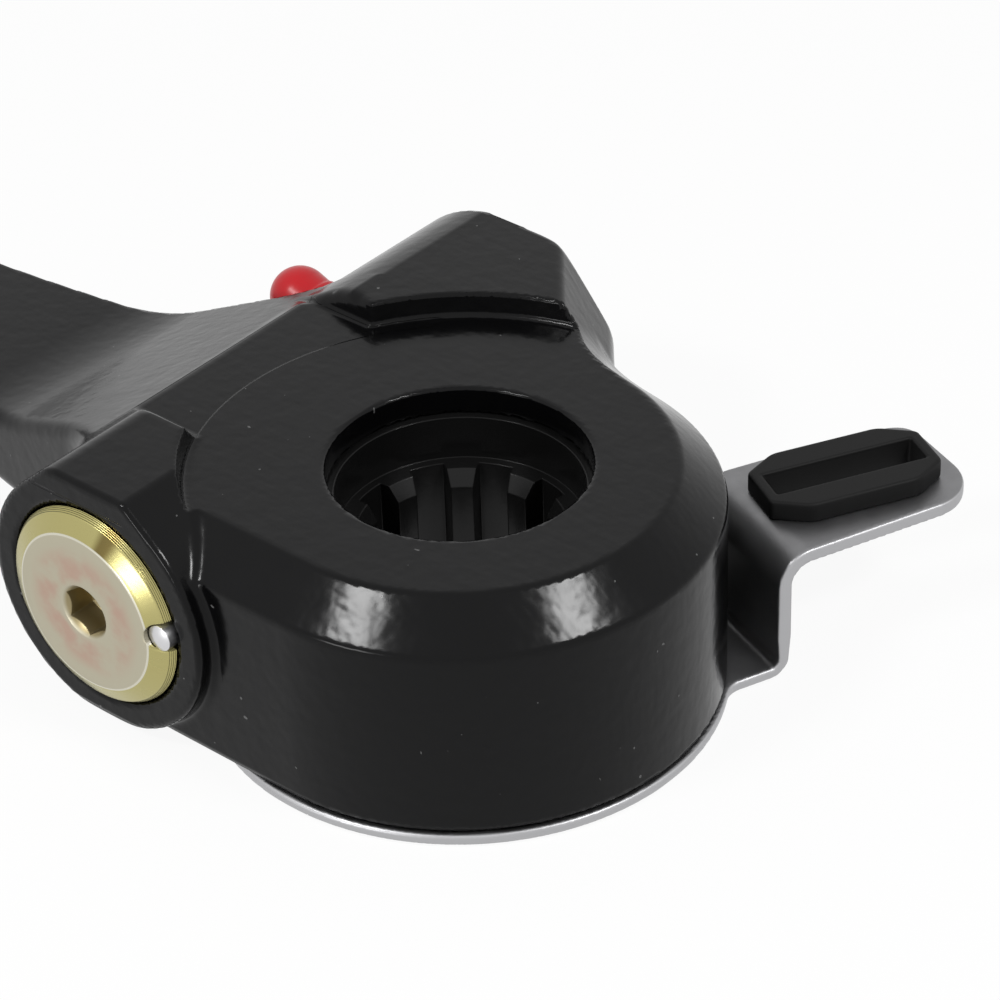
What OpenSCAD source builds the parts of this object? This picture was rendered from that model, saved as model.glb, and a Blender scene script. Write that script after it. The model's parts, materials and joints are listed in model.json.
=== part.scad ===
// Automatic slack adjuster for an S-cam drum brake, with its worm drive and control gears.
// X runs along the lever arm, Y along the worm, Z along the camshaft.
// The origin lies on the camshaft axis, level with the worm axis. Sizes are in millimetres.

/* [Camshaft spline] */
// Diameter across the roots of the spline grooves
spline_root_d = 38.1; // [36:0.1:39]
// Diameter across the spline tooth tips
spline_tip_d = 30.86; // [29:0.02:33]
// Number of spline teeth
spline_teeth = 10; // [8:1:12]
// Width of each spline groove
spline_groove_w = 5.94; // [5:0.02:6.2]
// Length of the splined part of the bore
spline_length = 29.4; // [24:0.2:31]

/* [Worm drive] */
// Teeth on the worm wheel
wheel_teeth = 22; // [22:1:24]
// Module of the worm and wheel teeth
gear_module = 2.6; // [2.6:0.05:2.8]
// Pitch radius of the worm
worm_pitch_r = 9.8; // [9.6:0.1:10.6]
// Face width of the worm wheel teeth
wheel_face = 18; // [14:0.5:19]
// Length of the worm thread
worm_thread_l = 27; // [22:1:28]
// Radius of the worm shaft
worm_shaft_r = 7; // [6.6:0.1:7.2]
// Size of the adjusting hexagon across its flats
hex_af = 12; // [10:1:12]
// How far the adjusting hexagon stands out of the housing
hex_reach = 6; // [4:0.5:9]

/* [Control gears] */
// Teeth on the control ring
control_teeth = 44; // [43:1:46]
// Module of the control ring and its pinion
control_module = 1.5; // [1.45:0.05:1.55]
// Teeth on the control pinion
pinion_teeth = 12; // [12:1:13]
// Teeth on the drive ring
drive_teeth = 14; // [14:1:15]
// Module of the drive ring and the small worm
drive_module = 1.4; // [1.35:0.05:1.45]
// Pitch radius of the small worm
small_worm_r = 4.2; // [4:0.1:4.4]

/* [Housing] */
// Wall outside the control ring cavity
body_wall = 8.7; // [7.6:0.1:11]
// Height of the machined ring face above the worm axis
ring_face_z = 19.1; // [18:0.1:19.3]
// Drop of the wide chamfer round the ring face
chamfer_drop = 7.2; // [4:0.2:9]
// Run of the wide chamfer round the ring face
chamfer_run = 7.5; // [4:0.1:9]
// Depth of the housing below the worm axis
body_depth = 22.6; // [22.6:0.1:26]
// Thickness of the lip above the worm wheel
lip_t = 5; // [4:0.1:5.4]
// Height of the raised platform over the control gears
platform_z = 23.4; // [22:0.1:26]
// Height of the low part between the two worm bosses
saddle_z = 19.4; // [19.3:0.1:21]

/* [Worm bosses] */
// Radius of the end plug
plug_r = 18; // [17:0.1:19]
// Wall round the end plug
boss_wall = 5.3; // [4.5:0.1:6]
// Distance of the near boss face from the camshaft axis
near_face = 47; // [45:0.5:52]
// Distance of the inner side of the near boss
near_side = 24.4; // [22:0.2:26]
// Distance of the far boss face from the camshaft axis
far_face = 57; // [56:0.5:62]
// Size of the plug's hexagon socket across its flats
socket_af = 8; // [6:1:10]
// Radius of the pin that locks the plug
lock_pin_r = 2.3; // [1.9:0.1:2.6]

/* [Lever arm] */
// Distance from the camshaft axis to the clevis pin
arm_length = 145; // [127:1:180]
// Thickness of the lever arm
arm_t = 14; // [10:0.5:16]
// Height of the arm's upper face above the worm axis
arm_top_z = 2.6; // [0:0.2:4]
// Radius of the eye at the end of the arm
eye_r = 15; // [12:0.5:18]
// Half width of the arm at its root
arm_root_half = 26.5; // [24:0.5:28]
// Slope of the shoulder between the bosses and the arm
shoulder_angle = 25; // [20:1:32]
// Diameter of the clevis pin hole
pin_d = 14.2; // [12:0.1:14.4]
// Wall of the clevis bush
bush_wall = 1.9; // [1.2:0.1:2.4]

/* [Control arm] */
// Direction of the control arm round the camshaft axis
control_angle = -111.3; // [-130:0.1:-105]
// Thickness of the control arm sheet
sheet_t = 2; // [1.5:0.1:2.6]
// Width of the control arm strip
strip_w = 28; // [24:0.5:34]
// Sideways offset of the strip's middle from the camshaft axis
strip_offset = -12.2; // [-14:0.1:-8]
// Height of the tab's upper face below the worm axis
tab_drop = 0.9; // [0:0.1:6]
// Distance of the tab's end from the camshaft axis
tab_reach = 85.3; // [84:0.1:100]
// Length of the rubber bush
rubber_l = 31.8; // [30:0.1:34]
// Width of the rubber bush
rubber_w = 16.8; // [15:0.1:18]
// Length of the slot in the rubber bush
slot_l = 27.6; // [22:0.1:28]
// Width of the slot in the rubber bush
slot_w = 6.2; // [4.6:0.1:7]

/* [Hidden] */
$fn = 96;
// Names of the pieces, in the order in which they go together

// Clearances: between sliding faces, of loose fits, running fits and seats, and of gear tips
face_gap = 0.3;
slip_gap = 0.1;
fit_gap = 0.05;
seat_gap = 0.02;
tip_gap = 0.6;
side_gap = 1;
overlap = 1;
far_away = 300;

// Tooth form shared by all the gears
pressure = 20;
backlash = 0.3;
stub_addendum = 0.8;
stub_dedendum = 1.05;
core_turn = 9;
sink = 0.5;

// O-rings and their grooves
ring_section_r = 0.88;
groove_w = 2;
groove_depth = 2;

// Worm and wheel
wheel_pitch_r = gear_module * wheel_teeth / 2;
wheel_tip_r = wheel_pitch_r + gear_module;
wheel_root_r = wheel_pitch_r - 1.25 * gear_module;
worm_tip_r = worm_pitch_r + gear_module;
worm_root_r = worm_pitch_r - 1.25 * gear_module;
worm_x = wheel_pitch_r + worm_pitch_r;
lead_angle = atan(gear_module / (2 * worm_pitch_r));
worm_bore_r = worm_tip_r + tip_gap;

// Heights of the wheel
hub_top_z = ring_face_z - lip_t - slip_gap;
journal_step = 0.5;
journal_r = wheel_root_r - journal_step;
lip_overhang = 2.85;
lip_bore_r = journal_r - lip_overhang;
hub_rim = 4.25;
hub_counter_r = journal_r - hub_rim;
wheel_cavity_r = wheel_tip_r + tip_gap;
wheel_cavity_top = wheel_face / 2 + side_gap;
hub_counter_depth = 8;
spline_top_z = hub_top_z - hub_counter_depth;
spline_lead = 1.9;
spline_lead_drop = 2.66;
wheel_seal_z = hub_top_z - groove_w;
wheel_bottom_z = spline_top_z - spline_length;
lower_hub_wall = 2.1;
lower_hub_r = spline_root_d / 2 + lower_hub_wall;
spline_phase = -49;

// Control gears
control_pitch_r = control_module * control_teeth / 2;
control_tip_r = control_pitch_r + stub_addendum * control_module;
pinion_pitch_r = control_module * pinion_teeth / 2;
pinion_tip_r = pinion_pitch_r + stub_addendum * control_module;
control_cavity_r = control_tip_r + tip_gap;
pinion_cavity_r = pinion_tip_r + tip_gap;
drive_pitch_r = drive_module * drive_teeth / 2;
drive_tip_r = drive_pitch_r + stub_addendum * drive_module;
small_worm_tip_r = small_worm_r + stub_addendum * drive_module;
small_worm_root_r = small_worm_r - stub_dedendum * drive_module;
small_lead_angle = atan(drive_module / (2 * small_worm_r));
shaft_x = worm_x - small_worm_r - drive_pitch_r;
shaft_y = -sqrt(pow(control_pitch_r + pinion_pitch_r, 2) - pow(shaft_x, 2));
shaft_angle = atan2(shaft_y, shaft_x);
small_worm_l = 16;
shaft_bore_r = small_worm_tip_r + tip_gap;
pivot_r = 2;
pivot_l = 4;

// Cover and the heights of the control gears above it
cover_t = 2;
cover_top_z = cover_t - body_depth;
seal_t = 0.8;
control_z = cover_top_z + seal_t + face_gap;
control_face = 4.4;
control_top_z = control_z + control_face;
control_cavity_top = control_top_z + tip_gap;
sleeve_wall = 4;
sleeve_bore_r = lower_hub_r + slip_gap;
sleeve_r = sleeve_bore_r + sleeve_wall;
screw_r = 1.6;
screw_head_r = 2.9;
screw_l = 7;
screw_socket_r = 1.2;
screw_socket_depth = 1.1;
screw_count = 5;
screw_circle_r = control_cavity_r + screw_head_r;
cover_edge = 0.5;
cover_r = screw_circle_r + screw_head_r + cover_edge;
lobe_edge = 2.6;
cover_lobe_r = pinion_cavity_r + lobe_edge;

// Outer form of the housing
body_r = control_cavity_r + body_wall;
ring_face_r = body_r - chamfer_run;
chamfer_z = ring_face_z - chamfer_drop;
boss_r = plug_r + boss_wall;
far_extra = 1.7;
far_boss_r = boss_r + far_extra;
far_side = -24;
pocket_gap = 0.5;
pocket_r = body_r + pocket_gap;
near_facet = 40;
near_flat = 4;
facet_angle = 220.2;
facet_top = 17.1;
facet_run = 8.9;
facet_drop = 13.9;
rim_chamfer = 1.4;
saddle_far_y = -18.5;
platform_x = -5;
platform_y = -15;

// Stations along the worm axis, from the near face inwards
plug_stand = 2.6;
plug_l = 14.6;
plug_face_y = near_face + plug_stand;
plug_inner_y = plug_face_y - plug_l;
plug_chamfer = 3.7;
plug_chamfer_drop = 2;
plug_groove = 2;
plug_groove_y = plug_inner_y + plug_groove;
socket_depth = 5.6;
socket_lead = 1;
socket_turn = 35;
lock_pin_angle = 186;
lock_pin_in = 1.7;
lock_pin_l = 6.2;
lock_pin_straight = 5.2;
lock_pin_dome = 4.5;
bearing_depth = 4.6;
plug_step = 2;
spring_bore_r = plug_r - plug_step;
thread_end_y = worm_thread_l / 2;
disc_t = 1.5;
disc_cone = 0.6;
disc_count = 4;
disc_pitch = disc_t + disc_cone + fit_gap;
disc_stack = disc_count * disc_pitch + fit_gap;
washer_t = 2.4;
washer_y = plug_inner_y - disc_stack - washer_t;
washer_r = spring_bore_r - slip_gap;
flange_step = 3;
flange_r = worm_shaft_r + flange_step;
flange_y = washer_y - slip_gap;

// Stations along the worm axis, towards the far face
collar_l = 3;
clutch_y = -thread_end_y - collar_l;
clutch_l = 8;
drum_wall = 2.9;
drum_r = worm_shaft_r + drum_wall;
gear_half = 4;
drive_y = shaft_y;
drum_end_y = clutch_y - clutch_l - face_gap;
bush_start_y = shaft_y - shaft_bore_r;
drive_end_y = bush_start_y + face_gap;
wire_r = 0.7;
spring_r = drum_r + wire_r + tip_gap;
spring_end = 1.1;
spring_y0 = drive_y + gear_half + spring_end;
spring_y1 = clutch_y - spring_end;
spring_turns = 6;
bush_r = 12;
seal_l = 4;
seal_recess = 0.4;
bush_end_y = -far_face + seal_l + 2 * seal_recess;

// Lever arm
arm_bottom_z = arm_top_z - arm_t;
bush_hole_r = pin_d / 2 + bush_wall;
shoulder_fillet = 40;
lever_root = 14;
lever_taper = 1.3;
lever_flare = 2.8;
flare_span = 0.16;
near_extra = 3.4;
lever_steps = 16;
lever_crowding = 1.6;

// Control arm
disc_edge = 0.5;
disc_r = body_r + disc_edge;
sheet_top_z = -body_depth - face_gap;
sheet_bottom_z = sheet_top_z - sheet_t;
riser_gap = 1.8;
riser_in = body_r + riser_gap;
bend_in = 1.2;
tab_corner = 9;
rivet_count = 6;
rivet_r = 1;
rivet_grip = 2;
rivet_circle_r = (sleeve_bore_r + sleeve_r) / 2;
rubber_turn = -7;
rubber_inset = 19.3;
rubber_mid = tab_reach - rubber_inset;
rubber_shift = -0.5;
rubber_above = 3.7;
rubber_below = 1.8;
rubber_chamfer_l = 6;
rubber_chamfer_w = 3.7;
rubber_lip_l = 1.6;
rubber_lip_w = 3;
neck_l = rubber_l - rubber_lip_l;
neck_w = rubber_w - rubber_lip_w;

// Grease nipple on the back of the far boss
nipple_y = -31.6;
nipple_tilt = 21.5;
nipple_r = 3;
nipple_start = worm_bore_r + 1.2;
nipple_spot = boss_r - 0.5;
nipple_hex_r = 4.6;
nipple_hex_h = 3.4;
spot_gap = 0.5;
nipple_neck_r = 2.2;
nipple_head_r = 3.1;
nipple_mouth_r = 1.6;
nipple_head = boss_r + 6.2;
nipple_end = boss_r + 8.2;
cap_r = 4.6;
cap_start = nipple_spot + nipple_hex_h + 0.4;
cap_sphere = cap_start + 2.9;
cap_inner_r = 3.3;
cap_inner_end = nipple_end + 0.2;
cap_collar = 0.4;
cap_collar_h = 1.6;
cap_tail_w = 1.6;
cap_tail_l = 3.2;

// Place a piece on the worm axis with its own z along the worm
module on_worm() {
    translate([worm_x, 0, 0]) rotate([-90, 0, 0]) children();
}

// Turn a profile of [radius, y] points round the worm axis
module turned(points) {
    on_worm() rotate_extrude() polygon(points);
}

// A round bar on the worm axis between two stations
module bar(r, y0, y1) {
    on_worm() translate([0, 0, min(y0, y1)]) cylinder(r = r, h = abs(y1 - y0));
}

// A tube on the worm axis between two stations
module sleeve(r_out, r_in, y0, y1) {
    turned([[r_in, y0], [r_out, y0], [r_out, y1], [r_in, y1]]);
}

// Extrude a flat outline drawn in X and Z along Y
module along_y(y0, y1) {
    translate([0, max(y0, y1), 0]) rotate([90, 0, 0]) linear_extrude(abs(y1 - y0)) children();
}

// Extrude a flat outline drawn in Y and Z along X
module along_x(x0, x1) {
    translate([x0, 0, 0]) rotate([90, 0, 90]) linear_extrude(x1 - x0) children();
}

// Place a piece at the control shaft
module at_shaft() {
    translate([shaft_x, shaft_y, 0]) children();
}

// A ring of round section about the z axis
module o_ring(middle_r, section_r) {
    rotate_extrude() translate([middle_r, 0]) circle(r = section_r);
}

// Involute angle, and the half angle of a tooth at a radius, in degrees
function involute(angle) = tan(angle) * 180 / PI - angle;
function flank_angle(r, pitch_r) = acos(min(1, pitch_r * cos(pressure) / r));
function tooth_half(r, pitch_r, count) =
    90 / count - backlash * 90 / (PI * pitch_r) + involute(pressure) - involute(flank_angle(r, pitch_r));

// Outline of one tooth, from root to tip and back, pointing along x
function tooth_outline(pitch_r, count, radii) = [
    for (side = [-1, 1]) for (k = [0:len(radii) - 1])
        let (r = side < 0 ? radii[k] : radii[len(radii) - 1 - k])
        let (half = side * tooth_half(r, pitch_r, count))
        [r * cos(half), r * sin(half)]];

// Straight gear teeth joined into one outline
module spur_outline(pitch_r, count, radii) {
    tooth = tooth_outline(pitch_r, count, radii);
    polygon([for (i = [0:count - 1]) for (p = tooth)
        let (a = 360 * i / count)
        [p[0] * cos(a) - p[1] * sin(a), p[0] * sin(a) + p[1] * cos(a)]]);
}

// Slanted teeth for a worm: each is a straight prism tilted by the lead angle, with a gap along x
module slanted_teeth(pitch_r, count, root_r, tip_r, tilt, face) {
    radii = [root_r - overlap, (root_r + pitch_r) / 2, pitch_r, tip_r];
    for (i = [0:count - 1])
        rotate([0, 0, 360 * (i + 0.5) / count])
            rotate([-tilt, 0, 0])
                linear_extrude(face, center = true) polygon(tooth_outline(pitch_r, count, radii));
}

// Screw thread of a worm about z, with its crest at z = 0 where the angle is crest_angle
module worm_thread(pitch_r, module_size, addendum, inner_r, length, crest_angle, steps) {
    lead = PI * module_size;
    half = lead / 4 - backlash / 2;
    tip_r = pitch_r + addendum * module_size;
    half_tip = half - addendum * module_size * tan(pressure);
    half_in = half + (pitch_r - inner_r) * tan(pressure);
    section = [[inner_r, -half_in], [tip_r, -half_tip], [tip_r, half_tip], [inner_r, half_in]];
    count = floor((length - 2 * half_in) / lead * steps);
    first = -floor(count / 2);
    points = [for (i = [0:count]) for (s = section)
        let (a = 360 * (first + i) / steps)
        [s[0] * cos(a + crest_angle), s[0] * sin(a + crest_angle), s[1] + lead * a / 360]];
    sides = [for (i = [0:count - 1]) for (k = [0:3])
        let (p = 4 * i + k, q = 4 * i + (k + 1) % 4)
        each [[p, q + 4, p + 4], [p, q, q + 4]]];
    last = 4 * count;
    ends = [[0, 2, 1], [0, 3, 2], [last, last + 1, last + 2], [last, last + 2, last + 3]];
    polyhedron(points, concat(sides, ends));
}

// Coil of round wire about z between two heights
module coil(middle_r, section_r, z0, z1, turns) {
    steps = 14;
    sides = 6;
    count = turns * steps;
    points = [for (i = [0:count]) for (k = [0:sides - 1])
        let (a = 360 * i / steps, b = 360 * k / sides, r = middle_r + section_r * cos(b))
        [r * cos(a), r * sin(a), z0 + (z1 - z0) * i / count + section_r * sin(b)]];
    skin = [for (i = [0:count - 1]) for (k = [0:sides - 1])
        let (p = sides * i + k, q = sides * i + (k + 1) % sides)
        each [[p, q + sides, p + sides], [p, q, q + sides]]];
    first = [for (k = [0:sides - 1]) sides - 1 - k];
    last = [for (k = [0:sides - 1]) sides * count + k];
    polyhedron(points, concat(skin, [first, last]));
}

// Section of the barrel, used round the camshaft and along the near flank
module barrel_section() {
    polygon([[0, -body_depth], [body_r, -body_depth], [body_r, chamfer_z],
        [ring_face_r, ring_face_z], [0, ring_face_z]]);
}

// Near boss: a tube with a flat top and a facet towards the camshaft
module near_boss() {
    reach = platform_z * tan(near_facet / 2);
    corner = [-reach, platform_z];
    turned([[0, near_side], [boss_r, near_side], [boss_r, near_face - rim_chamfer],
        [boss_r - rim_chamfer, near_face], [0, near_face]]);
    translate([worm_x, 0, 0]) along_y(near_side, near_face - rim_chamfer)
        polygon([[0, 0], [near_flat, platform_z], corner,
            [corner[0] - reach * cos(near_facet), corner[1] - reach * sin(near_facet)]]);
}

// Far boss: the platform over the control gears, with a sloping side
module far_box() {
    intersection() {
        translate([platform_x, -far_face, -body_depth])
            cube([worm_x - platform_x, far_face + platform_y, body_depth + platform_z]);
        rotate([0, 0, facet_angle]) along_y(-far_away, far_away)
            polygon([[-far_away, -body_depth], [facet_top + facet_run, -body_depth],
                [facet_top + facet_run, platform_z - facet_drop], [facet_top, platform_z],
                [-far_away, platform_z]]);
    }
}

// Thicker tube round the far end of the worm, with its top level with the platform
module far_tube() {
    intersection() {
        bar(far_boss_r, -far_face, far_side);
        translate([-far_away, -far_away, platform_z - 2 * far_away]) cube(2 * far_away);
    }
}

// Height profile of the lever: shoulder, arm and a hollow fillet between them
module lever_profile(top_z, sign) {
    start = [worm_x + boss_r * sin(shoulder_angle), boss_r * cos(shoulder_angle)];
    corner_x = worm_x + (boss_r - top_z * cos(shoulder_angle)) / sin(shoulder_angle);
    run = shoulder_fillet * tan(shoulder_angle / 2);
    upper = [corner_x - run * cos(shoulder_angle), top_z + run * sin(shoulder_angle)];
    mirror([0, sign < 0 ? 1 : 0]) {
        polygon([[worm_x, 0], start, [corner_x, top_z], [arm_length + far_away, top_z],
            [arm_length + far_away, 0]]);
        difference() {
            polygon([upper, [corner_x, top_z - overlap], [corner_x + run, top_z]]);
            translate([corner_x + run, top_z + shoulder_fillet]) circle(r = shoulder_fillet, $fn = 240);
        }
    }
}

// One side of the lever, from the bosses to the eye, which draws in and flares out at the root
function lever_side(root_half) = [
    for (i = [0:lever_steps])
        let (t = pow(i / lever_steps, lever_crowding), flare = max(0, 1 - t / flare_span))
        let (root_x = worm_x + lever_root, tip_x = arm_length - eye_r)
        [root_x + (tip_x - root_x) * t,
            eye_r + (root_half - eye_r) * pow(1 - t, lever_taper) + lever_flare * flare * flare]];

// Plan of the lever, wider on the near side
module lever_plan() {
    near = lever_side(arm_root_half + near_extra);
    far = lever_side(arm_root_half);
    polygon(concat([[worm_x, near[0][1]]], near, [[arm_length, eye_r], [arm_length, -eye_r]],
        [for (i = [lever_steps:-1:0]) [far[i][0], -far[i][1]]], [[worm_x, -far[0][1]]]));
    translate([arm_length, 0]) circle(r = eye_r);
}

module lever() {
    intersection() {
        along_y(-far_away, far_away) {
            lever_profile(arm_top_z, 1);
            lever_profile(-arm_bottom_z, -1);
        }
        translate([0, 0, -far_away]) linear_extrude(2 * far_away) lever_plan();
    }
}

// Everything that is cut out of the housing round the camshaft
module wheel_cuts() {
    translate([0, 0, ring_face_z]) cylinder(r = pocket_r, h = far_away);
    cylinder(r = lip_bore_r, h = far_away);
    translate([0, 0, -far_away]) cylinder(r = journal_r + fit_gap, h = far_away + ring_face_z - lip_t);
    translate([0, 0, -far_away]) cylinder(r = wheel_cavity_r, h = far_away + wheel_cavity_top);
    translate([0, 0, -far_away]) cylinder(r = control_cavity_r, h = far_away + control_cavity_top);
    translate([0, 0, wheel_seal_z - groove_w / 2]) cylinder(r = journal_r + groove_depth, h = groove_w);
}

// The seat of the cover, the holes of its screws and the room for the control shaft
module cover_cuts() {
    translate([0, 0, -far_away]) linear_extrude(far_away + cover_top_z) cover_outline(seat_gap);
    at_screws() translate([0, 0, -screw_l - body_depth])
        cylinder(r = screw_r + seat_gap, h = 2 * screw_l);
    at_shaft() {
        translate([0, 0, -far_away]) cylinder(r = pinion_cavity_r, h = far_away + control_cavity_top);
        translate([0, 0, -body_depth])
            cylinder(r = shaft_bore_r, h = body_depth + small_worm_l / 2 + face_gap);
        cylinder(r = pivot_r + fit_gap, h = small_worm_l / 2 + pivot_l + face_gap);
    }
}

// The stepped bore of the worm, from the plug to the adjusting hexagon
module worm_cuts() {
    bar(worm_bore_r, bush_start_y, washer_y);
    bar(spring_bore_r, washer_y - face_gap, plug_inner_y + overlap);
    bar(plug_r + seat_gap, plug_inner_y, near_face + overlap);
    bar(bush_r + seat_gap, -far_face - overlap, bush_start_y + slip_gap);
    lock_pin_place() cylinder(r = lock_pin_r + seat_gap, h = far_away);
}

module housing() {
    color([0.13, 0.13, 0.14]) difference() {
        intersection() {
            union() {
                rotate_extrude() barrel_section();
                along_x(0, worm_x) barrel_section();
                bar(boss_r, -far_face, near_side + overlap);
                near_boss();
                far_box();
                far_tube();
                lever();
            }
            translate([-far_away, -far_away, -body_depth]) cube(2 * far_away);
        }
        // Low saddle between the bosses, with a slope up to the far platform
        along_x(0, 2 * worm_x) polygon([[near_side, 2 * platform_z], [near_side, saddle_z],
            [saddle_far_y, saddle_z], [saddle_far_y - platform_z, saddle_z + platform_z]]);
        wheel_cuts();
        cover_cuts();
        worm_cuts();
        translate([arm_length, 0, -far_away]) cylinder(r = bush_hole_r, h = 2 * far_away);
        nipple_place() {
            translate([0, 0, worm_bore_r - overlap]) cylinder(r = nipple_r + seat_gap, h = far_away);
            translate([0, 0, nipple_spot]) cylinder(r = nipple_hex_r + spot_gap, h = far_away);
        }
    }
}

module clevis_bush() {
    color([0.62, 0.62, 0.64]) translate([arm_length, 0, arm_bottom_z]) difference() {
        cylinder(r = bush_hole_r - seat_gap, h = arm_t);
        translate([0, 0, -overlap]) cylinder(d = pin_d, h = arm_t + 2 * overlap);
    }
}

module wheel_seal() {
    color([0.08, 0.08, 0.08]) translate([0, 0, wheel_seal_z])
        o_ring(journal_r + fit_gap + groove_depth / 2, ring_section_r);
}

// Splined bore: the round hole of the tooth tips with the grooves cut outwards from it
module spline_bore() {
    intersection() {
        translate([0, 0, wheel_bottom_z - overlap])
            cylinder(d = spline_root_d, h = spline_length + 3 * overlap);
        union() {
            translate([0, 0, wheel_bottom_z - overlap]) cylinder(d = spline_tip_d, h = far_away);
            for (i = [0:spline_teeth - 1])
                rotate([0, 0, spline_phase + 360 * (i + 0.5) / spline_teeth])
                    translate([0, -spline_groove_w / 2, wheel_bottom_z - overlap])
                        cube([spline_root_d / 2 + overlap, spline_groove_w, far_away]);
        }
    }
}

module worm_wheel() {
    spline_tip_r = spline_tip_d / 2;
    color([0.16, 0.16, 0.17]) difference() {
        union() {
            rotate_extrude() polygon([[0, wheel_bottom_z], [lower_hub_r, wheel_bottom_z],
                [lower_hub_r, control_top_z + face_gap], [journal_r, control_top_z + face_gap],
                [journal_r, -wheel_face / 2], [wheel_root_r, -wheel_face / 2],
                [wheel_root_r, wheel_face / 2], [journal_r, wheel_face / 2],
                [journal_r, hub_top_z], [0, hub_top_z]]);
            slanted_teeth(wheel_pitch_r, wheel_teeth, wheel_root_r, wheel_tip_r, lead_angle,
                wheel_face - 2 * side_gap);
        }
        spline_bore();
        translate([0, 0, spline_top_z]) cylinder(r = hub_counter_r, h = far_away);
        translate([0, 0, spline_top_z - spline_lead_drop])
            cylinder(r1 = spline_tip_r, r2 = spline_tip_r + spline_lead, h = spline_lead_drop + seat_gap);
    }
}

module worm_screw() {
    core_r = worm_root_r / cos(15);
    journal_end_y = plug_inner_y + bearing_depth - face_gap;
    color([0.55, 0.55, 0.57]) {
        on_worm() {
            worm_thread(worm_pitch_r, gear_module, 1, worm_root_r - sink, worm_thread_l, 180, 16);
            rotate([0, 0, core_turn])
                cylinder(r = core_r, h = worm_thread_l + 2 * overlap, $fn = 12, center = true);
            translate([0, 0, -far_face - hex_reach])
                cylinder(r = hex_af / 2 / cos(30), h = hex_reach + overlap, $fn = 6);
        }
        turned([[0, thread_end_y], [flange_r, thread_end_y], [flange_r, flange_y],
            [worm_shaft_r, flange_y], [worm_shaft_r, journal_end_y], [0, journal_end_y]]);
        turned([[0, -far_face], [worm_shaft_r, -far_face], [worm_shaft_r, clutch_y],
            [flange_r, clutch_y], [flange_r, -thread_end_y], [0, -thread_end_y]]);
    }
}

// Drum that is keyed to the worm shaft and gripped by the one way spring
module clutch_hub() {
    color([0.5, 0.48, 0.44])
        sleeve(drum_r, worm_shaft_r + seat_gap, clutch_y - clutch_l, clutch_y);
}

module one_way_spring() {
    color([0.45, 0.46, 0.5]) on_worm() coil(spring_r, wire_r, spring_y0, spring_y1, spring_turns);
}

// Ring that the small worm turns, with a drum for the one way spring
module drive_ring() {
    root_r = drive_pitch_r - stub_dedendum * drive_module;
    color([0.66, 0.56, 0.32]) difference() {
        union() {
            bar(root_r, drive_end_y, drive_y + gear_half);
            on_worm() translate([0, 0, drive_y]) rotate([0, 0, 180])
                slanted_teeth(drive_pitch_r, drive_teeth, root_r, drive_tip_r, small_lead_angle,
                    2 * (gear_half - side_gap));
            bar(drum_r, drive_y + gear_half - sink, drum_end_y);
        }
        bar(worm_shaft_r + fit_gap, drive_end_y - overlap, 0);
    }
}

module shaft_bush() {
    color([0.72, 0.58, 0.3]) sleeve(bush_r, worm_shaft_r + fit_gap, bush_end_y, bush_start_y);
}

module shaft_seal() {
    color([0.08, 0.08, 0.08])
        sleeve(bush_r - slip_gap, worm_shaft_r + slip_gap, seal_recess - far_face,
            seal_recess - far_face + seal_l);
}

module thrust_washer() {
    color([0.6, 0.6, 0.62]) sleeve(washer_r, worm_shaft_r + face_gap, washer_y, washer_y + washer_t);
}

// Cupped spring washers, stacked in opposed pairs
module disc_springs() {
    inner = worm_shaft_r + side_gap;
    outer = spring_bore_r - face_gap;
    color([0.4, 0.41, 0.44]) for (i = [0:disc_count - 1]) {
        y = washer_y + washer_t + fit_gap + i * disc_pitch;
        rise_in = i % 2 == 0 ? disc_cone : 0;
        rise_out = disc_cone - rise_in;
        turned([[inner, y + rise_in], [outer, y + rise_out],
            [outer, y + rise_out + disc_t], [inner, y + rise_in + disc_t]]);
    }
}

module plug_seal() {
    color([0.08, 0.08, 0.08]) on_worm() translate([0, 0, plug_groove_y + groove_w / 2])
        o_ring(plug_r - groove_depth / 2, ring_section_r);
}

// Threaded plug that closes the near boss and carries the end of the worm
module end_plug() {
    groove_r = plug_r - groove_depth;
    color([0.78, 0.66, 0.32]) difference() {
        turned([[0, plug_inner_y], [plug_r, plug_inner_y], [plug_r, plug_groove_y],
            [groove_r, plug_groove_y], [groove_r, plug_groove_y + groove_w],
            [plug_r, plug_groove_y + groove_w], [plug_r, plug_face_y - plug_chamfer_drop],
            [plug_r - plug_chamfer, plug_face_y], [0, plug_face_y]]);
        bar(worm_shaft_r + fit_gap, plug_inner_y - overlap, plug_inner_y + bearing_depth);
        on_worm() translate([0, 0, plug_face_y - socket_depth]) rotate([0, 0, socket_turn])
            cylinder(r = socket_af / 2 / cos(30), h = far_away, $fn = 6);
        on_worm() translate([0, 0, plug_face_y - socket_lead])
            cylinder(r1 = socket_af / 2, r2 = socket_af / 2 + socket_lead, h = socket_lead + seat_gap);
        lock_pin_place() cylinder(r = lock_pin_r + seat_gap, h = far_away);
    }
}

// The lock pin straddles the thread of the plug, on the side of the camshaft
module lock_pin_place() {
    on_worm() rotate([0, 0, lock_pin_angle])
        translate([plug_r - lock_pin_in, 0, plug_face_y - lock_pin_l]) children();
}

module lock_pin() {
    color([0.75, 0.75, 0.77]) lock_pin_place() {
        cylinder(r = lock_pin_r, h = lock_pin_straight);
        translate([0, 0, lock_pin_straight]) intersection() {
            translate([0, 0, -lock_pin_dome]) sphere(r = norm([lock_pin_r, lock_pin_dome]));
            cylinder(r = lock_pin_r, h = far_away);
        }
    }
}

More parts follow.
